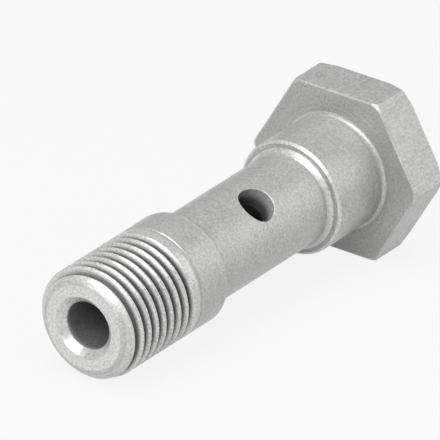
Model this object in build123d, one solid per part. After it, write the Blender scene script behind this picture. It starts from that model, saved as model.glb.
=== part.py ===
from build123d import *

import math
import os

# A banjo bolt: one turned hexagon bolt, bored from its tip and cross drilled,
# so that fluid passes between the bore and the ring fitting round its shank.
# Millimetres. The origin is on the axis, at the bearing face under the head.
# +X runs along the axis to the tip, and a flat of the hexagon faces down.

# Hexagon head
HEXAGON_SIDES = 6
ACROSS_FLATS = 19.0
HEAD_HEIGHT = 5.4
TOP_FLAT_RADIUS = 9.9          # circle left flat on the top of the head
BEARING_FLAT_RADIUS = 10.45    # circle left flat on the bearing side
HEAD_CHAMFER_ANGLE = 30.0      # both chamfer cones, measured from the faces

# Places along the axis
SHANK_LENGTH = 46.0            # bearing face to tip face
COLLAR_LENGTH = 8.0            # bearing face to the end of the full diameter
COLLAR_STEP_LENGTH = 0.15      # band between the collar's two front slopes
ROOT_RELIEF_LENGTH = 0.95      # bearing face to the start of the relief under the head
LAND_END = 17.3                # tip face to the back of the plain land
START_MARK_PLACE = 12.6        # tip face to the middle of the thread's start mark
RUN_OUT_START = 10.77          # tip face to where the groove begins to rise
CROSS_HOLE_PLACE = 18.5        # bearing face to the axis of the cross hole

# Diameters
COLLAR_DIAMETER = 13.3
COLLAR_STEP_DIAMETER = 12.7    # foot of the collar's front chamfer
COLLAR_CONE_DIAMETER = 11.8    # top of the cone that rises from the shank
ROOT_RELIEF_DIAMETER = 13.0    # foot of the relief's slope
SHANK_DIAMETER = 10.8
THREAD_DIAMETER = 13.0         # over the crests, and over the plain land
TIP_FACE_DIAMETER = 10.2       # flat ring left inside the tip's chamfer
COUNTERSINK_DIAMETER = 7.2
BORE_DIAMETER = 5.5
CROSS_HOLE_DIAMETER = 4.3

# Edges and ends
ROOT_FILLET = 0.45             # relief into the bearing face
LAND_CHAMFER = 0.15            # back edge of the plain land
BORE_OVERRUN = 3.5             # full bore beyond the axis of the cross hole
DRILL_POINT_ANGLE = 118.0
CROSS_HOLE_ANGLE = 57.0        # turned about the axis, from +Y towards +Z

# Thread: right hand, 19 turns to the inch, flanks at 55 degrees
INCH = 25.4
TURNS_PER_INCH = 19.0
PITCH = INCH / TURNS_PER_INCH
FLANK_ANGLE = 55.0
GROOVE_DEPTH = 0.85
GROOVE_ROOT_WIDTH = 0.2
RUN_OUT_ANGLE = -18.0          # where the run-out starts, from +Y towards +Z
RUN_OUT_TURNS = 0.6            # over which the groove rises out of the metal
START_MARK_DEPTH = 0.1         # hollow ring that marks where the threading starts
START_MARK_HALF_WIDTH = 0.2
CUTTER_MARGIN = 0.15           # how far a cutting shape stands clear of the metal

AXIS = Axis.X


def revolved(points):
    """Solid of revolution about the bolt's axis, from (place, radius) points."""
    outline = make_face(Polyline(*points, close=True))
    return revolve(outline, axis=AXIS)


def turned_shank():
    """Everything in front of the head, as it leaves the lathe."""
    shank = SHANK_DIAMETER / 2
    cone = COLLAR_CONE_DIAMETER / 2
    step = COLLAR_STEP_DIAMETER / 2
    collar = COLLAR_DIAMETER / 2
    relief = ROOT_RELIEF_DIAMETER / 2
    thread = THREAD_DIAMETER / 2
    tip = TIP_FACE_DIAMETER / 2
    chamfer_foot = COLLAR_LENGTH + collar - step
    cone_top = chamfer_foot + COLLAR_STEP_LENGTH
    cone_foot = cone_top + cone - shank
    land_back = SHANK_LENGTH - LAND_END
    shoulder = land_back + LAND_CHAMFER
    mark = SHANK_LENGTH - START_MARK_PLACE
    profile = [
        (-HEAD_HEIGHT / 2, 0),
        (-HEAD_HEIGHT / 2, relief),
        (ROOT_FILLET, relief),
        (ROOT_RELIEF_LENGTH, collar),
        (COLLAR_LENGTH, collar),
        (chamfer_foot, step),
        (chamfer_foot, cone),
        (cone_top, cone),
        (cone_foot, shank),
        (land_back, shank),
        (land_back, thread - LAND_CHAMFER),
        (shoulder, thread),
        (mark - START_MARK_HALF_WIDTH, thread),
        (mark, thread - START_MARK_DEPTH),
        (mark + START_MARK_HALF_WIDTH, thread),
        (SHANK_LENGTH - (thread - tip), thread),
        (SHANK_LENGTH, tip),
        (SHANK_LENGTH, 0),
    ]
    return revolved(profile)


def root_fillet():
    """Ring with a hollow quarter round, in the corner under the head."""
    relief = ROOT_RELIEF_DIAMETER / 2
    inside = relief - CUTTER_MARGIN
    outer = relief + ROOT_FILLET
    arc = RadiusArc((0, outer), (ROOT_FILLET, relief), ROOT_FILLET)
    sides = Polyline(
        (ROOT_FILLET, relief),
        (ROOT_FILLET, inside),
        (-CUTTER_MARGIN, inside),
        (-CUTTER_MARGIN, outer),
        (0, outer),
    )
    return revolve(make_face(arc + sides), axis=AXIS)


def hexagon_head():
    """Hexagon prism with both faces chamfered by cones."""
    half_flats = ACROSS_FLATS / 2
    corner = half_flats / math.cos(math.pi / HEXAGON_SIDES)
    outside = corner + CUTTER_MARGIN
    slope = math.tan(math.radians(HEAD_CHAMFER_ANGLE))
    top_drop = (outside - TOP_FLAT_RADIUS) * slope
    bearing_drop = (outside - BEARING_FLAT_RADIUS) * slope
    plane = Plane(origin=(-HEAD_HEIGHT, 0, 0), x_dir=(0, 1, 0), z_dir=(1, 0, 0))
    outline = plane * RegularPolygon(corner, HEXAGON_SIDES)
    prism = extrude(outline, amount=HEAD_HEIGHT)
    envelope = revolved([
        (-HEAD_HEIGHT, 0),
        (-HEAD_HEIGHT, TOP_FLAT_RADIUS),
        (top_drop - HEAD_HEIGHT, outside),
        (-bearing_drop, outside),
        (0, BEARING_FLAT_RADIUS),
        (0, 0),
    ])
    return prism & envelope


def axial_bore():
    """Blind bore from the tip face, with its countersink and drill point."""
    bore = BORE_DIAMETER / 2
    mouth = COUNTERSINK_DIAMETER / 2
    bottom = CROSS_HOLE_PLACE - BORE_OVERRUN
    point = bore / math.tan(math.radians(DRILL_POINT_ANGLE / 2))
    return revolved([
        (bottom - point, 0),
        (bottom, bore),
        (SHANK_LENGTH - (mouth - bore), bore),
        (SHANK_LENGTH + CUTTER_MARGIN, mouth + CUTTER_MARGIN),
        (SHANK_LENGTH + CUTTER_MARGIN, 0),
    ])


def cross_hole():
    """Hole drilled right through the shank, across the bore."""
    drill = Cylinder(CROSS_HOLE_DIAMETER / 2, 2 * SHANK_DIAMETER)
    upright = Rot(90, 0, 0) * drill
    return Pos(CROSS_HOLE_PLACE, 0, 0) * Rot(CROSS_HOLE_ANGLE, 0, 0) * upright


def swept_groove(place, length, cone_angle):
    """Thread groove swept along a helix, from a place on the axis towards the head."""
    root_radius = THREAD_DIAMETER / 2 - GROOVE_DEPTH
    towards_head = (-1, 0, 0)
    helix = Edge.make_helix(PITCH, length, root_radius, (place, 0, 0), towards_head, cone_angle)
    height = GROOVE_DEPTH + CUTTER_MARGIN
    half_root = GROOVE_ROOT_WIDTH / 2
    half_mouth = half_root + height * math.tan(math.radians(FLANK_ANGLE / 2))
    start = helix @ 0
    outwards = Vector(0, start.Y, start.Z)
    section = make_face(Polyline(
        (0, half_root),
        (height, half_mouth),
        (height, -half_mouth),
        (0, -half_root),
        close=True,
    ))
    plane = Plane(origin=start, x_dir=outwards, z_dir=helix % 0)
    groove = sweep(plane * section, path=helix, is_frenet=True)
    start_angle = math.degrees(math.atan2(start.Z, start.Y))
    return Rot(RUN_OUT_ANGLE - start_angle, 0, 0) * groove


def thread_groove():
    """Helical groove from past the tip, one turn to a piece, and its run-out."""
    full_depth_end = SHANK_LENGTH - RUN_OUT_START
    turns = math.ceil(RUN_OUT_START / PITCH) + 1
    starts = [full_depth_end + turn * PITCH for turn in range(1, turns + 1)]
    pieces = [swept_groove(start, PITCH, 0) for start in starts]
    run_out_length = RUN_OUT_TURNS * PITCH
    rise = math.degrees(math.atan2(GROOVE_DEPTH + CUTTER_MARGIN, run_out_length))
    pieces.append(swept_groove(full_depth_end, run_out_length, rise))
    return pieces


def banjo_bolt():
    """The whole bolt as one solid."""
    bolt = turned_shank() + root_fillet() + hexagon_head()
    bolt -= axial_bore()
    bolt -= cross_hole()
    for groove in thread_groove():
        bolt -= groove
    return bolt


bolt = banjo_bolt()
bolt.label = "banjo_bolt"
os.makedirs("parts", exist_ok=True)
export_step(bolt, "parts/banjo_bolt.step")
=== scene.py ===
"""A banjo bolt of satin plated steel, lying on a white floor.

The bolt is one closed mesh, made of rings round its axis in the frame of the
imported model: +X to the threaded tip, +Z up. Its sizes are in millimetres, and
its angles are in degrees round the axis, from +Y towards +Z.
"""

import bpy
import numpy as np
from mathutils import Matrix, Vector


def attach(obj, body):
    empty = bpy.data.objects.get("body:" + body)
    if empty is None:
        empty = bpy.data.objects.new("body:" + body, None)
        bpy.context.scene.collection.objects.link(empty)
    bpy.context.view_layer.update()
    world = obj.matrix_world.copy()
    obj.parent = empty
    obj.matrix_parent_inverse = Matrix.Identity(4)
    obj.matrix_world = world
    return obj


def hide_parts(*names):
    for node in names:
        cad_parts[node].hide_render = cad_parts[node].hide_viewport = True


MM = 0.001
NODE = "banjo_bolt"

# Hexagon head
HEXAGON_SIDES = 6
ACROSS_FLATS = 19.0
HEAD_HEIGHT = 5.4
TOP_FLAT_RADIUS = 9.9
BEARING_FLAT_RADIUS = 10.45
HEAD_CHAMFER_ANGLE = 30.0
HEXAGON_CORNER_ROUNDING = 0.3
LEAST_HEAD_CHAMFER = 0.2

# Places along the axis, from the bearing face
SHANK_LENGTH = 46.0
ROOT_RELIEF_LENGTH = 0.95
COLLAR_LENGTH = 8.0
COLLAR_STEP_LENGTH = 0.15
LAND_BACK = SHANK_LENGTH - 17.3
START_MARK_PLACE = SHANK_LENGTH - 12.6
THREAD_BACK = SHANK_LENGTH - 12.2
FULL_DEPTH_END = SHANK_LENGTH - 10.77
CROSS_HOLE_PLACE = 18.5
BORE_BOTTOM = CROSS_HOLE_PLACE - 3.5

# Radii
ROOT_RELIEF_RADIUS = 6.5
COLLAR_RADIUS = 6.65
COLLAR_STEP_RADIUS = 6.35
COLLAR_CONE_RADIUS = 5.9
SHANK_RADIUS = 5.4
THREAD_RADIUS = 6.5
TIP_FACE_RADIUS = 5.1
COUNTERSINK_RADIUS = 3.6
BORE_RADIUS = 2.75
CROSS_HOLE_RADIUS = 2.15
ROOT_FILLET = 0.45
LAND_CHAMFER = 0.15

# Places where slopes of 45 degrees end, which follow from the radii
COLLAR_STEP_PLACE = COLLAR_LENGTH + COLLAR_RADIUS - COLLAR_STEP_RADIUS
CHAMFER_FOOT = SHANK_LENGTH - (THREAD_RADIUS - TIP_FACE_RADIUS)

# Angles of the holes
CROSS_HOLE_ANGLE = 57.0
DRILL_POINT_ANGLE = 118.0

# Thread, right hand
INCH = 25.4
TURNS_PER_INCH = 19.0
PITCH = INCH / TURNS_PER_INCH
FLANK_ANGLE = 55.0
GROOVE_DEPTH = 0.85
ROOT_ROUNDING = 0.18
CREST_EASING = 0.08
RUN_OUT_ANGLE = -18.0
RUN_OUT_TURNS = 0.6
RUN_OUT_RISE = 1.0
START_MARK_DEPTH = 0.1
START_MARK_HALF_WIDTH = 0.2

# Lengths over which the edges are eased, each side of the edge
HEAD_EDGE = 0.12
BEARING_EDGE = 0.05
RELIEF_EDGE = 0.24
ROOT_EDGE = 0.06
COLLAR_EDGE = 0.05
LAND_EDGE = 0.07
START_MARK_EDGE = 0.05
TIP_EDGE = 0.3
SINK_EDGE = 0.15
CROSS_HOLE_EDGE = 0.12

# Fineness of the mesh
COLUMNS = 240
BORE_COLUMNS = COLUMNS // 2
ROWS_TO_A_PITCH = 20
EASING_STEPS = 4
FILLET_STEPS = 8

# From an eased edge to the next plain ring, in easing lengths
EDGE_MARGIN = 4.0
THREAD_MARGIN = 2.0
CHAMFER_MARGIN = 1.5

# Marks for the material, kept at the mesh's points
LEAST_WORN_BEND = 0.02
MOST_WORN_BEND = 0.08
# Depths in the holes over which painted shade deepens
SINK_DEPTH = 0.8
DARKENING_DEPTH = 1.0
MOST_ROUNDING_ERROR = 0.01
THREAD_BAND_DEPTH = 1.02
BURR_OVERLAP = 0.2

# Window left in the rings round each mouth of the cross hole
WINDOW_HALF_LENGTH = 3.2
WINDOW_ROWS = 20
SHANK_WINDOW = 36.0
BORE_WINDOW = 2 * SHANK_WINDOW
MOUTHS = (CROSS_HOLE_ANGLE, CROSS_HOLE_ANGLE + 180.0)
MOUTH_SHARES = (0.3, 0.55, 0.75, 0.9, 1.0)
WALL_ROWS = 6

# Steel: sizes in millimetres, heights of the relief in millimetres
STEEL_COLOUR = (0.52, 0.52, 0.515)
METALLIC = 0.38
ROUGHNESS = 0.38
ROUGHNESS_SPREAD = 0.06
NOISE_LOW = 0.28
NOISE_HIGH = 0.72
NOISE_DETAIL = 3.0
NOISE_ROUGHNESS = 0.6
GRAIN_SIZE = 0.26
GRAIN_CONTRAST = 0.24
GRAIN_HEIGHT = 0.007
BLOTCH_SIZE = 2.5
BLOTCH_CONTRAST = 0.04
RING_SIZE = 0.25
RING_TURN_SCALE = 0.35
DRAWN_STRETCH = (0.06, 1.0, 1.0)
LINE_CONTRAST = 0.09
LINE_HEIGHT = 0.0015
WEAR_BREAK_SIZE = 0.8
WORN_BRIGHTNESS = 1.15
WORN_SMOOTHNESS = 0.08
# Painted shade: darker with the depth of the thread's grooves and of the holes' insides
SHADE_START = 0.15
SHADE_END = 0.65
PAINTED_SHADE_BRIGHTNESS = 0.18
HIDDEN_ROUGHNESS = 0.15
# Painted shade on the bearing face and the collar's step
SEAT_SHADE_BRIGHTNESS = 0.76
# Painted light on the tip's face
TIP_LIGHT_BRIGHTNESS = 1.25
# Painted highlight on the collar's slopes, the countersink and the thread, which are also smoother
PAINTED_HIGHLIGHT_BRIGHTNESS = 1.22
FORMED_SMOOTHNESS = 0.06
BURRED_ROUGHNESS = 0.1
BURR_SIZE = 0.35
BURR_HEIGHT = 0.02

# Floor
FLOOR_HALF_SIZE = 2.0
FLOOR_WHITENESS = 0.5
FLOOR_ROUGHNESS = 0.9
FLOOR_GLOW_SHARE = 0.88

# Light: each lamp is a round one, given by its azimuth, elevation and power
WORLD_STRENGTH = 0.22
LAMP_DISTANCE = 0.6
LAMP_SIZE = 0.55
LAMP_TARGET = Vector((0.02, 0.0, 0.0))
KEY_LAMP = (8.0, 39.0, 2.7)
TOP_LAMP = (0.0, 84.0, 2.4)
SIDE_LAMP = (145.0, 16.0, 0.8)

# Camera
CAMERA_AZIMUTH = 35.44
CAMERA_ELEVATION = 27.46
CAMERA_ROLL = -0.76
CAMERA_DISTANCE = 1.6268
CAMERA_AIM = Vector((0.01969, -0.00111, 0.00172))
CAMERA_LENS = 1238.8
CAMERA_SENSOR = 36.0


def column_angles(columns):
    return np.arange(columns) * 360.0 / columns


def ring(place, radius, angles):
    """One ring of points: place and radius are numbers, or one for each angle."""
    turn = np.radians(angles)
    place = place + np.zeros(len(turn))
    return np.column_stack([place, radius * np.cos(turn), radius * np.sin(turn)])


def eased_line(corners, breaks):
    """Rows of (place, radius) along a line through corners, each corner eased.

    The easing of a corner starts and ends at its break length from the corner.
    """
    corners = [np.array(np.broadcast_arrays(*np.atleast_1d(*corner))) for corner in corners]
    rows = [corners[0]]
    for before, corner, after, length in zip(corners, corners[1:], corners[2:], breaks):
        start = corner + length * unit(before - corner)
        end = corner + length * unit(after - corner)
        rows += [eased(start, corner, end, share) for share in easing_shares()]
    return rows + [corners[-1]]


def unit(vectors):
    return vectors / np.sqrt((vectors ** 2).sum(0))


def easing_shares():
    return np.linspace(0.0, 1.0, EASING_STEPS + 1)


def eased(start, corner, end, share):
    """Point on the curve that leaves start, and reaches end, along the corner's sides."""
    rest = 1.0 - share
    return rest * rest * start + 2 * rest * share * corner + share * share * end


def hexagon_angles():
    """The columns' angles on the head, drawn together towards the corners."""
    sector = 360.0 / HEXAGON_SIDES
    angles = column_angles(COLUMNS)
    nearest = np.round(angles / sector) * sector
    share = (angles - nearest) / (sector / 2)
    return nearest + sector / 2 * np.sign(share) * share ** 2


def hexagon_radii(angles):
    """Distance from the axis to the hexagon, whose corners are rounded."""
    sector = np.radians(360.0 / HEXAGON_SIDES)
    turn = np.radians(angles)
    from_corner = turn - np.round(turn / sector) * sector
    flat = ACROSS_FLATS / 2
    rounding = HEXAGON_CORNER_ROUNDING
    centre = (flat - rounding) / np.cos(sector / 2)
    inside = rounding ** 2 - (centre * np.sin(from_corner)) ** 2
    rounded = centre * np.cos(from_corner) + np.sqrt(np.maximum(inside, 0.0))
    straight = flat / np.cos(sector / 2 - np.abs(from_corner))
    reach = np.arctan2(rounding * np.sin(sector / 2), centre + rounding * np.cos(sector / 2))
    return np.where(np.abs(from_corner) < reach, rounded, straight)


def head_rings():
    """From the head's top, round its side, to the foot of the root fillet."""
    angles = hexagon_angles()
    side = hexagon_radii(angles)
    slope = np.tan(np.radians(HEAD_CHAMFER_ANGLE))
    top_flat = np.minimum(TOP_FLAT_RADIUS, side - LEAST_HEAD_CHAMFER)
    bearing_flat = np.minimum(BEARING_FLAT_RADIUS, side - LEAST_HEAD_CHAMFER)
    fillet_foot = ROOT_RELIEF_RADIUS + ROOT_FILLET
    inner = fillet_foot + (ACROSS_FLATS / 2 - fillet_foot) / 2
    corners = [
        (-HEAD_HEIGHT, TOP_FLAT_RADIUS / 2),
        (-HEAD_HEIGHT, top_flat),
        ((side - top_flat) * slope - HEAD_HEIGHT, side),
        ((bearing_flat - side) * slope, side),
        (0.0, bearing_flat),
        (0.0, inner),
    ]
    rows = eased_line(corners, [HEAD_EDGE, HEAD_EDGE, BEARING_EDGE, BEARING_EDGE])
    rings = [ring(place, radius, angles) for place, radius in rows]
    even = column_angles(COLUMNS)
    between = fillet_foot + (inner - fillet_foot) / 2
    rings.append(ring(0.0, between, (angles + even) / 2))
    for turn in np.linspace(0.0, np.pi / 2, FILLET_STEPS + 1):
        place = ROOT_FILLET * (1 - np.cos(turn))
        radius = fillet_foot - ROOT_FILLET * np.sin(turn)
        rings.append(ring(place, radius, even))
    return rings


def collar_rings():
    """The relief under the head, the collar and its front slopes, down to the shank."""
    cone_top = COLLAR_STEP_PLACE + COLLAR_STEP_LENGTH
    cone_foot = cone_top + COLLAR_CONE_RADIUS - SHANK_RADIUS
    corners = [
        (ROOT_FILLET + ROOT_EDGE, ROOT_RELIEF_RADIUS),
        (ROOT_RELIEF_LENGTH, COLLAR_RADIUS),
        (COLLAR_LENGTH, COLLAR_RADIUS),
        (COLLAR_STEP_PLACE, COLLAR_STEP_RADIUS),
        (COLLAR_STEP_PLACE, COLLAR_CONE_RADIUS),
        (cone_top, COLLAR_CONE_RADIUS),
        (cone_foot, SHANK_RADIUS),
        (cone_foot + EDGE_MARGIN * COLLAR_EDGE, SHANK_RADIUS),
    ]
    rows = eased_line(corners, [RELIEF_EDGE] + [COLLAR_EDGE] * 5)
    return [ring(place, radius, column_angles(COLUMNS)) for place, radius in rows]


def tool_edge(distance):
    """How far the threading tool's edge stands above its nose, beside its middle."""
    half_flank = np.radians(FLANK_ANGLE / 2)
    touch = ROOT_ROUNDING * np.cos(half_flank)
    nose = ROOT_ROUNDING - np.sqrt(np.maximum(ROOT_ROUNDING ** 2 - distance ** 2, 0.0))
    nose_end = ROOT_ROUNDING * (1 - np.sin(half_flank))
    flank = nose_end + (distance - touch) / np.tan(half_flank)
    return np.where(distance < touch, nose, flank)


def eased_least(first, second):
    """The lesser of two radii, with the edge between them eased."""
    overlap = np.maximum(CREST_EASING - np.abs(first - second), 0.0)
    return np.minimum(first, second) - overlap ** 2 / (4 * CREST_EASING)


def thread_radii(place, angles):
    """Radii of the threaded end at one place: the thread, its run-out, the chamfer."""
    part_turns = (angles - RUN_OUT_ANGLE) / 360.0
    from_end = place - FULL_DEPTH_END
    nearest = np.round(from_end / PITCH - part_turns)
    radii = np.full(len(angles), THREAD_RADIUS)
    for step in (-1, 0, 1):
        turns = nearest + step + part_turns
        rise = np.maximum(-turns, 0.0) / RUN_OUT_TURNS * RUN_OUT_RISE
        edge = tool_edge(np.abs(from_end - turns * PITCH))
        radii = eased_least(radii, THREAD_RADIUS - GROOVE_DEPTH + rise + edge)
    return eased_least(radii, TIP_FACE_RADIUS + SHANK_LENGTH - place)


def threaded_rings():
    """The plain land, the start mark and the thread, out onto the tip's chamfer."""
    angles = column_angles(COLUMNS)
    corners = [
        (LAND_BACK - EDGE_MARGIN * LAND_EDGE, SHANK_RADIUS),
        (LAND_BACK, SHANK_RADIUS),
        (LAND_BACK, THREAD_RADIUS - LAND_CHAMFER),
        (LAND_BACK + LAND_CHAMFER, THREAD_RADIUS),
        (START_MARK_PLACE - START_MARK_HALF_WIDTH, THREAD_RADIUS),
        (START_MARK_PLACE, THREAD_RADIUS - START_MARK_DEPTH),
        (START_MARK_PLACE + START_MARK_HALF_WIDTH, THREAD_RADIUS),
        (THREAD_BACK, THREAD_RADIUS),
    ]
    rows = eased_line(corners, [LAND_EDGE] * 3 + [START_MARK_EDGE] * 3)
    rings = [ring(place, radius, angles) for place, radius in rows]
    step = PITCH / ROWS_TO_A_PITCH
    end = SHANK_LENGTH - THREAD_MARGIN * TIP_EDGE
    for place in np.arange(THREAD_BACK + step, end, step):
        rings.append(ring(place, thread_radii(place, angles), angles))
    return rings


def tip_face_rings():
    """The foot of the tip's chamfer and the outer edge of its face."""
    run = CHAMFER_MARGIN * TIP_EDGE
    corners = [
        (SHANK_LENGTH - run, TIP_FACE_RADIUS + run),
        (SHANK_LENGTH, TIP_FACE_RADIUS),
        (SHANK_LENGTH, TIP_FACE_RADIUS - THREAD_MARGIN * TIP_EDGE),
    ]
    rows = eased_line(corners, [TIP_EDGE])
    return [ring(place, radius, column_angles(COLUMNS)) for place, radius in rows]


def countersink_rings():
    """The inner edge of the tip's face, and its countersink, into the bore."""
    foot = SHANK_LENGTH - (COUNTERSINK_RADIUS - BORE_RADIUS)
    corners = [
        (SHANK_LENGTH, COUNTERSINK_RADIUS + EDGE_MARGIN * SINK_EDGE),
        (SHANK_LENGTH, COUNTERSINK_RADIUS),
        (foot, BORE_RADIUS),
        (foot - EDGE_MARGIN * SINK_EDGE, BORE_RADIUS),
    ]
    rows = eased_line(corners, [SINK_EDGE] * 2)
    return [ring(place, radius, column_angles(BORE_COLUMNS)) for place, radius in rows]


def window_rings(radius, columns):
    """Rings over the length of the cross hole's windows, from the head's side."""
    places = CROSS_HOLE_PLACE + np.linspace(-1.0, 1.0, WINDOW_ROWS + 1) * WINDOW_HALF_LENGTH
    return [ring(place, radius, column_angles(columns)) for place in places]


class Skin:
    """Points and faces of a mesh, gathered row by row.

    Rows follow the surface from the head's top to the bore's bottom, and the
    points in a row follow the angle, so that every face looks outwards.
    """

    def __init__(self):
        self.points = []
        self.faces = []

    def row(self, points):
        """Adds points, and returns their numbers."""
        start = len(self.points)
        self.points += [tuple(point) for point in points]
        return list(range(start, len(self.points)))

    def rows(self, rings):
        return [self.row(points) for points in rings]

    def places(self, row):
        return np.array([self.points[number] for number in row])

    def strip(self, first, second, skipped=()):
        """Four-sided faces between two closed rows, but not in skipped columns."""
        count = len(first)
        for column in range(count):
            after = (column + 1) % count
            if column not in skipped:
                self.faces.append((first[column], first[after], second[after], second[column]))

    def strips(self, rows, skipped=()):
        for first, second in zip(rows, rows[1:]):
            self.strip(first, second, skipped)

    def halving_strip(self, fine, coarse):
        """Three-sided faces from a row to one with half as many points."""
        for column, corner in enumerate(coarse):
            after = coarse[(column + 1) % len(coarse)]
            first = fine[2 * column]
            middle = fine[2 * column + 1]
            last = fine[(2 * column + 2) % len(fine)]
            self.faces += [(first, middle, corner), (middle, after, corner), (middle, last, after)]

    def disc(self, centre, rim):
        """Three-sided faces from a closed row to one point."""
        number = self.row([centre])[0]
        for column, corner in enumerate(rim):
            self.faces.append((number, corner, rim[(column + 1) % len(rim)]))


def window_columns(mouth, half_width, columns):
    """Numbers of the columns from one side of a window to the other."""
    to_a_column = columns / 360.0
    first = round((mouth - half_width) * to_a_column)
    last = round((mouth + half_width) * to_a_column)
    return [column % columns for column in range(first, last + 1)]


def window_rim(rows, columns):
    """The points once round the edge of a window."""
    near = [rows[0][column] for column in columns]
    far = [rows[-1][column] for column in columns]
    start = [row[columns[0]] for row in rows]
    end = [row[columns[-1]] for row in rows]
    return near[:-1] + end[:-1] + far[:0:-1] + start[:0:-1]


def turn_from(points, mouth):
    """Angle of each point round the bolt's axis, from the mouth's, in radians."""
    turn = np.arctan2(points[:, 2], points[:, 1]) - np.radians(mouth)
    return (turn + np.pi) % (2 * np.pi) - np.pi


def around_hole(points, radius, mouth):
    """Direction of each point from the hole's middle, on the unrolled surface."""
    return np.arctan2(turn_from(points, mouth) * radius, points[:, 0] - CROSS_HOLE_PLACE)


def over_hole(clock, hole_radius, radius, mouth):
    """Points on a cylinder round the bolt's axis, over a circle round the hole's."""
    across = np.arcsin(hole_radius * np.sin(clock) / radius)
    place = CROSS_HOLE_PLACE + hole_radius * np.cos(clock)
    return ring(place, radius, np.degrees(across) + mouth)


def mouth_rows(skin, rim, clock, hole_radius, radius, mouth):
    """Rows from a window's rim in to a circle round the cross hole."""
    outer = skin.places(rim)
    inner = over_hole(clock, hole_radius, radius, mouth)
    outer_turn = turn_from(outer, mouth)
    inner_turn = turn_from(inner, mouth)
    rows = [rim]
    for share in MOUTH_SHARES:
        place = outer[:, 0] + share * (inner[:, 0] - outer[:, 0])
        turn = outer_turn + share * (inner_turn - outer_turn)
        rows.append(skin.row(ring(place, radius, np.degrees(turn) + mouth)))
    return rows


def cross_hole_faces(skin, shank_rows, bore_rows, mouth):
    """From the window in the shank, down the hole's wall, to the bore's window."""
    shank_columns = window_columns(mouth, SHANK_WINDOW, COLUMNS)
    bore_columns = window_columns(mouth, BORE_WINDOW, BORE_COLUMNS)
    shank_rim = window_rim(shank_rows, shank_columns)
    bore_rim = window_rim(bore_rows[::-1], bore_columns)
    clock = around_hole(skin.places(shank_rim), SHANK_RADIUS, mouth)
    eased_radius = CROSS_HOLE_RADIUS + CROSS_HOLE_EDGE
    rows = mouth_rows(skin, shank_rim, clock, eased_radius, SHANK_RADIUS, mouth)

    inwards = -ring(0.0, 1.0, np.array([mouth]))
    start = skin.places(rows[-1])
    corner = over_hole(clock, CROSS_HOLE_RADIUS, SHANK_RADIUS, mouth)
    top = corner + CROSS_HOLE_EDGE * inwards
    foot = over_hole(clock, CROSS_HOLE_RADIUS, BORE_RADIUS, mouth)
    rows += skin.rows(eased(start, corner, top, share) for share in easing_shares()[1:])
    rows += skin.rows(top + share * (foot - top) for share in np.linspace(0, 1, WALL_ROWS)[1:-1])

    inner_rows = mouth_rows(skin, bore_rim, clock, CROSS_HOLE_RADIUS, BORE_RADIUS, mouth)
    skin.strips(rows + inner_rows[::-1])
    return set(shank_columns[:-1]), set(bore_columns[:-1])


def bolt_skin():
    """Every point and face of the bolt."""
    skin = Skin()
    head = skin.rows(head_rings() + collar_rings())
    shank = skin.rows(window_rings(SHANK_RADIUS, COLUMNS))
    front = skin.rows(threaded_rings() + tip_face_rings())
    countersink = skin.rows(countersink_rings())
    bore = skin.rows(window_rings(BORE_RADIUS, BORE_COLUMNS)[::-1])
    bottom = skin.row(ring(BORE_BOTTOM, BORE_RADIUS, column_angles(BORE_COLUMNS)))

    skin.disc((-HEAD_HEIGHT, 0.0, 0.0), head[0][::-1])
    skin.strips(head + shank[:1])
    skin.strips(shank[-1:] + front)
    skin.halving_strip(front[-1], countersink[0])
    skin.strips(countersink + bore[:1])
    skin.strip(bore[-1], bottom)
    point_depth = BORE_RADIUS / np.tan(np.radians(DRILL_POINT_ANGLE / 2))
    skin.disc((BORE_BOTTOM - point_depth, 0.0, 0.0), bottom)

    shank_skipped = set()
    bore_skipped = set()
    for mouth in MOUTHS:
        shank_columns, bore_columns = cross_hole_faces(skin, shank, bore, mouth)
        shank_skipped |= shank_columns
        bore_skipped |= bore_columns
    skin.strips(shank, shank_skipped)
    skin.strips(bore, bore_skipped)
    return skin


def smooth_by_area(mesh):
    """Smooth shading in which the large faces set the direction at each point."""
    mesh.shade_smooth()
    weighted = np.zeros((len(mesh.vertices), 3))
    for face in mesh.polygons:
        weighted[list(face.vertices)] += np.array(face.normal) * face.area
    weighted /= np.linalg.norm(weighted, axis=1)[:, None]
    mesh.normals_split_custom_set_from_vertices([tuple(normal) for normal in weighted])


def outwards_bend(mesh):
    """How far each point stands out from its neighbours, as a share of their distance."""
    places = np.array([vertex.co for vertex in mesh.vertices])
    normals = np.array([vertex.normal for vertex in mesh.vertices])
    ends = np.array([edge.vertices for edge in mesh.edges])
    ways = unit((places[ends[:, 0]] - places[ends[:, 1]]).T).T
    rise = np.zeros(len(places))
    np.add.at(rise, ends[:, 0], (ways * normals[ends[:, 0]]).sum(1))
    np.add.at(rise, ends[:, 1], -(ways * normals[ends[:, 1]]).sum(1))
    return rise / np.bincount(ends.ravel())


def mark(mesh, name, shares):
    """Keeps one number from 0 to 1 for each point, for the material."""
    attribute = mesh.attributes.new(name, "FLOAT", "POINT")
    attribute.data.foreach_set("value", np.clip(shares.astype(np.float32), 0.0, 1.0))


def mark_depths(mesh, along, radius, threaded):
    """Marks the thread's groove and the insides of the holes by their depth, where painted shade goes.
    """
    outline = np.minimum(THREAD_RADIUS, TIP_FACE_RADIUS + SHANK_LENGTH - along)
    holes = (radius < SHANK_RADIUS - CROSS_HOLE_EDGE) & (along > 0.0)
    depth = np.where(along > LAND_BACK, SHANK_LENGTH - along, SHANK_RADIUS - radius)
    mark(mesh, "groove", threaded * (outline - radius) / GROOVE_DEPTH)
    mark(mesh, "inside", holes * (depth - SINK_DEPTH) / DARKENING_DEPTH)


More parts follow.
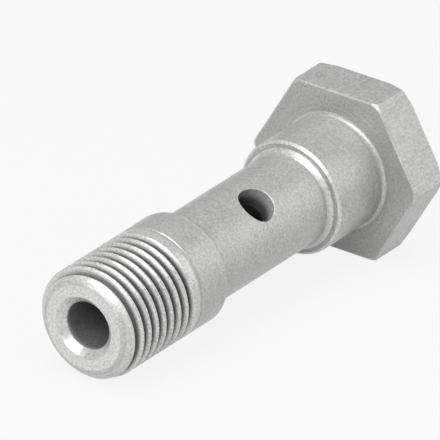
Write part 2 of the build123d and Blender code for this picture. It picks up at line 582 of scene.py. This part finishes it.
def mark_finishes(mesh, along, radius, threaded):
    """Marks the hexagon's side, the burred tip chamfer, and faces with painted light and shade.

    The bearing face and the collar's step get painted shade. The collar's slopes, the countersink and
    the thread are smoother and get a painted highlight, and the tip's face gets painted light.
    """
    side = (along > -HEAD_HEIGHT) & (along < 0.0) & (radius > ACROSS_FLATS / 2 - MOST_ROUNDING_ERROR)
    chamfer = (radius > TIP_FACE_RADIUS - BURR_OVERLAP) & (along > CHAMFER_FOOT - BURR_OVERLAP)
    seat = (np.abs(along) < MOST_ROUNDING_ERROR) & (radius > COLLAR_RADIUS + ROOT_FILLET / 2)
    step = (np.abs(along - COLLAR_STEP_PLACE) < COLLAR_EDGE) & (radius < COLLAR_STEP_RADIUS)
    raised = (along > COLLAR_LENGTH) & (along < LAND_BACK) & (radius > SHANK_RADIUS + COLLAR_EDGE)
    sink = (along > LAND_BACK) & (radius > BORE_RADIUS + COLLAR_EDGE) & (radius < COUNTERSINK_RADIUS)
    tip = (along > SHANK_LENGTH - MOST_ROUNDING_ERROR) & (radius > COUNTERSINK_RADIUS)
    mark(mesh, "milled", side)
    mark(mesh, "burred", chamfer)
    # Painted shade on the bearing face and the collar's step
    mark(mesh, "painted_shade_faces", seat | step)
    # Painted highlight and smoother steel on the collar's slopes, the countersink and the thread
    mark(mesh, "smooth_and_highlit", (raised & ~step) | sink | threaded)
    # Painted light on the tip's face
    mark(mesh, "painted_light_tip", tip)


def mark_surfaces(mesh):
    """Marks the worn edges, the depths that get painted shade, and the finishes, with painted light
    and shade on some.
    """
    places = np.array([vertex.co for vertex in mesh.vertices]) / MM
    along = places[:, 0]
    radius = np.hypot(places[:, 1], places[:, 2])
    threaded = (along > THREAD_BACK) & (radius > THREAD_RADIUS - THREAD_BAND_DEPTH)
    worn = (outwards_bend(mesh) - LEAST_WORN_BEND) / (MOST_WORN_BEND - LEAST_WORN_BEND)
    mark(mesh, "worn", worn)
    mark_depths(mesh, along, radius, threaded)
    mark_finishes(mesh, along, radius, threaded)


def used_parts(skin):
    """The skin's points that some face uses, and its faces with those points' new numbers."""
    numbers = sorted({number for face in skin.faces for number in face})
    renumbered = {number: place for place, number in enumerate(numbers)}
    points = [skin.points[number] for number in numbers]
    faces = [tuple(renumbered[number] for number in face) for face in skin.faces]
    return points, faces


def bolt_mesh():
    points, faces = used_parts(bolt_skin())
    mesh = bpy.data.meshes.new("bolt")
    mesh.from_pydata([tuple(MM * length for length in point) for point in points], [], faces)
    mesh.update()
    mark_surfaces(mesh)
    smooth_by_area(mesh)
    return mesh


def place_bolt():
    bolt = bpy.data.objects.new("bolt", bolt_mesh())
    bpy.context.scene.collection.objects.link(bolt)
    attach(bolt, "root")
    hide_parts(NODE)
    return bolt


class Tree:
    """Short ways to add nodes to a material's tree."""

    def __init__(self, tree):
        self.tree = tree

    def node(self, kind, inputs=(), **settings):
        """A new node, with its settings and its inputs: numbers, or others' outputs."""
        node = self.tree.nodes.new(kind)
        for name, value in settings.items():
            setattr(node, name, value)
        for name, value in dict(inputs).items():
            if isinstance(value, bpy.types.NodeSocket):
                self.tree.links.new(value, node.inputs[name])
            else:
                node.inputs[name].default_value = value
        return node

    def math(self, operation, first, second=0.0):
        return self.node("ShaderNodeMath", {0: first, 1: second}, operation=operation).outputs[0]

    def combined(self, operation, values):
        """All the values added or multiplied, one after the other."""
        total = values[0]
        for value in values[1:]:
            total = self.math(operation, total, value)
        return total

    def spread(self, value, low, high):
        """A number that runs from low to high as the value runs from 0 to 1."""
        inputs = {"Value": value, "To Min": low, "To Max": high}
        return self.node("ShaderNodeMapRange", inputs).outputs[0]

    def varied(self, value, contrast):
        """A number that runs from as far below 1 as above it."""
        return self.spread(value, 1.0 - contrast, 1.0 + contrast)

    def step(self, value, start, end):
        """From 0 to 1, smoothly, as the value runs from start to end."""
        inputs = {"Value": value, "From Min": start, "From Max": end}
        return self.node("ShaderNodeMapRange", inputs, interpolation_type="SMOOTHSTEP").outputs[0]

    def noise(self, vector, size):
        """Noise from 0 to 1, with features of a size in the vector's units."""
        inputs = {"Vector": vector, "Scale": 1.0 / size}
        inputs.update({"Detail": NOISE_DETAIL, "Roughness": NOISE_ROUGHNESS})
        value = self.node("ShaderNodeTexNoise", inputs).outputs["Fac"]
        inputs = {"Value": value, "From Min": NOISE_LOW, "From Max": NOISE_HIGH}
        return self.node("ShaderNodeMapRange", inputs).outputs[0]

    def mark(self, name):
        """A number that the mesh keeps at its points."""
        return self.node("ShaderNodeAttribute", attribute_name=name).outputs["Fac"]


def millimetres(nodes):
    """The place on the bolt, that place for turning rings, and that place for streaks."""
    place = nodes.node("ShaderNodeTexCoord").outputs["Object"]
    scaled = nodes.node("ShaderNodeVectorMath", {0: place, "Scale": 1.0 / MM}, operation="SCALE")
    parts = nodes.node("ShaderNodeSeparateXYZ", {0: scaled.outputs[0]})
    along, across, up = parts.outputs
    squares = nodes.math("ADD", nodes.math("MULTIPLY", across, across), nodes.math("MULTIPLY", up, up))
    line = nodes.math("SUBTRACT", along, nodes.math("SQRT", squares))
    turn = nodes.math("MULTIPLY", nodes.math("ARCTAN2", up, across), RING_TURN_SCALE)
    turned = nodes.node("ShaderNodeCombineXYZ", {0: line, 1: turn})
    inputs = {0: scaled.outputs[0], 1: DRAWN_STRETCH}
    drawn = nodes.node("ShaderNodeVectorMath", inputs, operation="MULTIPLY")
    return scaled.outputs[0], turned.outputs[0], drawn.outputs[0]


def steel_patterns(nodes):
    """The patterns and masks that the steel's colour, roughness and relief share."""
    place, turned_place, drawn_place = millimetres(nodes)
    rings = nodes.noise(turned_place, RING_SIZE)
    streaks = nodes.noise(drawn_place, RING_SIZE)
    lines = {"Factor": nodes.mark("milled"), "A": rings, "B": streaks}
    groove = nodes.step(nodes.mark("groove"), SHADE_START, SHADE_END)
    return {
        "grain": nodes.noise(place, GRAIN_SIZE),
        "blotches": nodes.noise(place, BLOTCH_SIZE),
        "lines": nodes.node("ShaderNodeMix", lines).outputs[0],
        "worn": nodes.math("MULTIPLY", nodes.mark("worn"), nodes.noise(place, WEAR_BREAK_SIZE)),
        # Mask of painted shade in the grooves and holes, also used for roughness
        "hollow_shade": nodes.math("MAXIMUM", nodes.mark("inside"), groove),
        "burred": nodes.mark("burred"),
        "burrs": nodes.math("MULTIPLY", nodes.noise(place, BURR_SIZE), nodes.mark("burred")),
        "painted_shade_faces": nodes.mark("painted_shade_faces"),
        "painted_light_tip": nodes.mark("painted_light_tip"),
        "smooth_and_highlit": nodes.mark("smooth_and_highlit"),
    }


def steel_colour(nodes, patterns):
    """The steel's colour, lighter and darker with the patterns, painted light and painted shade among
    them.
    """
    tone = nodes.combined("MULTIPLY", [
        nodes.varied(patterns["grain"], GRAIN_CONTRAST),
        nodes.varied(patterns["blotches"], BLOTCH_CONTRAST),
        nodes.varied(patterns["lines"], LINE_CONTRAST),
        nodes.spread(patterns["worn"], 1.0, WORN_BRIGHTNESS),
        # Painted shade in the thread's grooves and the holes
        nodes.spread(patterns["hollow_shade"], 1.0, PAINTED_SHADE_BRIGHTNESS),
        # Painted shade on the bearing face and the collar's step
        nodes.spread(patterns["painted_shade_faces"], 1.0, SEAT_SHADE_BRIGHTNESS),
        # Painted light on the tip's face
        nodes.spread(patterns["painted_light_tip"], 1.0, TIP_LIGHT_BRIGHTNESS),
        # Painted highlight on the collar's slopes, the countersink and the thread
        nodes.spread(patterns["smooth_and_highlit"], 1.0, PAINTED_HIGHLIGHT_BRIGHTNESS),
    ])
    inputs = {0: STEEL_COLOUR, "Scale": tone}
    return nodes.node("ShaderNodeVectorMath", inputs, operation="SCALE").outputs[0]


def steel_roughness(nodes, patterns):
    """Rougher in holes and on burrs, smoother where worn, and on the collar's slopes, the countersink
    and the thread.
    """
    low = ROUGHNESS - ROUGHNESS_SPREAD
    high = ROUGHNESS + ROUGHNESS_SPREAD
    return nodes.combined("ADD", [
        nodes.spread(patterns["grain"], low, high),
        nodes.spread(patterns["worn"], 0.0, -WORN_SMOOTHNESS),
        nodes.spread(patterns["hollow_shade"], 0.0, HIDDEN_ROUGHNESS),
        nodes.spread(patterns["smooth_and_highlit"], 0.0, -FORMED_SMOOTHNESS),
        nodes.spread(patterns["burred"], 0.0, BURRED_ROUGHNESS),
    ])


def steel_relief(nodes, patterns):
    """Directions of the surface, tilted by the grain, the fine lines and the burrs."""
    height = nodes.combined("ADD", [
        nodes.math("MULTIPLY", patterns["grain"], GRAIN_HEIGHT),
        nodes.math("MULTIPLY", patterns["lines"], LINE_HEIGHT),
        nodes.math("MULTIPLY", patterns["burrs"], BURR_HEIGHT),
    ])
    inputs = {"Height": height, "Distance": MM, "Strength": 1.0}
    return nodes.node("ShaderNodeBump", inputs).outputs[0]


def steel():
    """Satin plated steel with fine grain, turning rings and worn edges, and with painted shade in its
    hollows and on its seat, and painted light and highlights on its tip and slopes.
    """
    material = bpy.data.materials.new("plated_steel")
    material.use_nodes = True
    nodes = Tree(material.node_tree)
    shader = material.node_tree.nodes["Principled BSDF"]
    patterns = steel_patterns(nodes)
    links = material.node_tree.links
    links.new(steel_colour(nodes, patterns), shader.inputs["Base Color"])
    links.new(steel_roughness(nodes, patterns), shader.inputs["Roughness"])
    links.new(steel_relief(nodes, patterns), shader.inputs["Normal"])
    shader.inputs["Metallic"].default_value = METALLIC
    return material


def seen_directly(nodes):
    """1 for rays from the camera, off glossy surfaces or through clear ones, else 0."""
    rays = nodes.node("ShaderNodeLightPath").outputs
    glossy = nodes.math("MAXIMUM", rays["Is Glossy Ray"], rays["Is Transmission Ray"])
    return nodes.math("MAXIMUM", rays["Is Camera Ray"], glossy)


def floor_white():
    """A pale floor that looks white and keeps a faint shadow."""
    material = bpy.data.materials.new("floor")
    material.use_nodes = True
    nodes = Tree(material.node_tree)
    shader = material.node_tree.nodes["Principled BSDF"]
    shader.inputs["Base Color"].default_value = (*[FLOOR_WHITENESS] * 3, 1.0)
    shader.inputs["Roughness"].default_value = FLOOR_ROUGHNESS
    shader.inputs["Specular IOR Level"].default_value = 0.0
    white = nodes.node("ShaderNodeEmission", {"Color": (1.0, 1.0, 1.0, 1.0), "Strength": 1.0})
    share = nodes.math("MULTIPLY", seen_directly(nodes), FLOOR_GLOW_SHARE)
    mixed = nodes.node("ShaderNodeMixShader", {0: share, 1: shader.outputs[0], 2: white.outputs[0]})
    output = material.node_tree.nodes["Material Output"]
    material.node_tree.links.new(mixed.outputs[0], output.inputs["Surface"])
    return material


def place_floor():
    """A white plane under the bolt's two lowest places: the head's flat and the thread."""
    rise = (ACROSS_FLATS / 2 - THREAD_RADIUS) / CHAMFER_FOOT
    corners = []
    for x, y in ((-1, -1), (1, -1), (1, 1), (-1, 1)):
        x *= FLOOR_HALF_SIZE
        corners.append((x, y * FLOOR_HALF_SIZE, rise * x - ACROSS_FLATS / 2 * MM))
    mesh = bpy.data.meshes.new("floor")
    mesh.from_pydata(corners, [], [(0, 1, 2, 3)])
    floor = bpy.data.objects.new("floor", mesh)
    bpy.context.scene.collection.objects.link(floor)
    floor.data.materials.append(floor_white())


def direction(azimuth, elevation):
    """Unit vector at an azimuth from +X towards +Y, and an elevation."""
    azimuth = np.radians(azimuth)
    elevation = np.radians(elevation)
    level = np.cos(elevation)
    return Vector((level * np.cos(azimuth), level * np.sin(azimuth), np.sin(elevation)))


def facing(place, target, roll=0.0):
    """Matrix of a camera or lamp at a place, turned towards a target."""
    back = (place - target).normalized()
    right = Vector((0.0, 0.0, 1.0)).cross(back).normalized()
    up = back.cross(right)
    turned = Matrix((right, up, back)).transposed() @ Matrix.Rotation(np.radians(roll), 3, "Z")
    return Matrix.LocRotScale(place, turned.to_quaternion(), None)


def place_camera():
    data = bpy.data.cameras.new("camera")
    data.sensor_width = CAMERA_SENSOR
    data.lens = CAMERA_LENS
    camera = bpy.data.objects.new("camera", data)
    bpy.context.scene.collection.objects.link(camera)
    place = CAMERA_AIM + CAMERA_DISTANCE * direction(CAMERA_AZIMUTH, CAMERA_ELEVATION)
    camera.matrix_world = facing(place, CAMERA_AIM, -CAMERA_ROLL)
    bpy.context.scene.camera = camera


def place_lamp(name, azimuth, elevation, power):
    """A large round lamp that faces the middle of the bolt."""
    data = bpy.data.lights.new(name, "AREA")
    data.shape = "DISK"
    data.size = LAMP_SIZE
    data.energy = power
    lamp = bpy.data.objects.new(name, data)
    bpy.context.scene.collection.objects.link(lamp)
    place = LAMP_TARGET + LAMP_DISTANCE * direction(azimuth, elevation)
    lamp.matrix_world = facing(place, LAMP_TARGET)


def light_scene():
    """Weak light from all round, which the camera sees as white, and three soft lamps."""
    world = bpy.data.worlds.new("world")
    world.use_nodes = True
    nodes = Tree(world.node_tree)
    background = world.node_tree.nodes["Background"]
    background.inputs["Color"].default_value = (1.0, 1.0, 1.0, 1.0)
    camera = nodes.node("ShaderNodeLightPath").outputs["Is Camera Ray"]
    strength = nodes.spread(camera, WORLD_STRENGTH, 1.0)
    world.node_tree.links.new(strength, background.inputs["Strength"])
    bpy.context.scene.world = world
    place_lamp("key", *KEY_LAMP)
    place_lamp("top", *TOP_LAMP)
    place_lamp("side", *SIDE_LAMP)


bpy.ops.wm.read_factory_settings(use_empty=True)
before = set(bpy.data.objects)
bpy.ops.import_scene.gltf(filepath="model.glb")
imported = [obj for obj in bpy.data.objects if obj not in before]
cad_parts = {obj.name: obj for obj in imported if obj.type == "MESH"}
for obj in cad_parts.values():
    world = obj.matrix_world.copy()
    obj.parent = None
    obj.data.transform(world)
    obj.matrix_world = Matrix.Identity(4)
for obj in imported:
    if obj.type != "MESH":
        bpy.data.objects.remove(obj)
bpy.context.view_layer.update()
bolt = place_bolt()
bolt.data.materials.append(steel())
place_floor()
light_scene()
place_camera()
bpy.context.scene.view_settings.view_transform = "Standard"
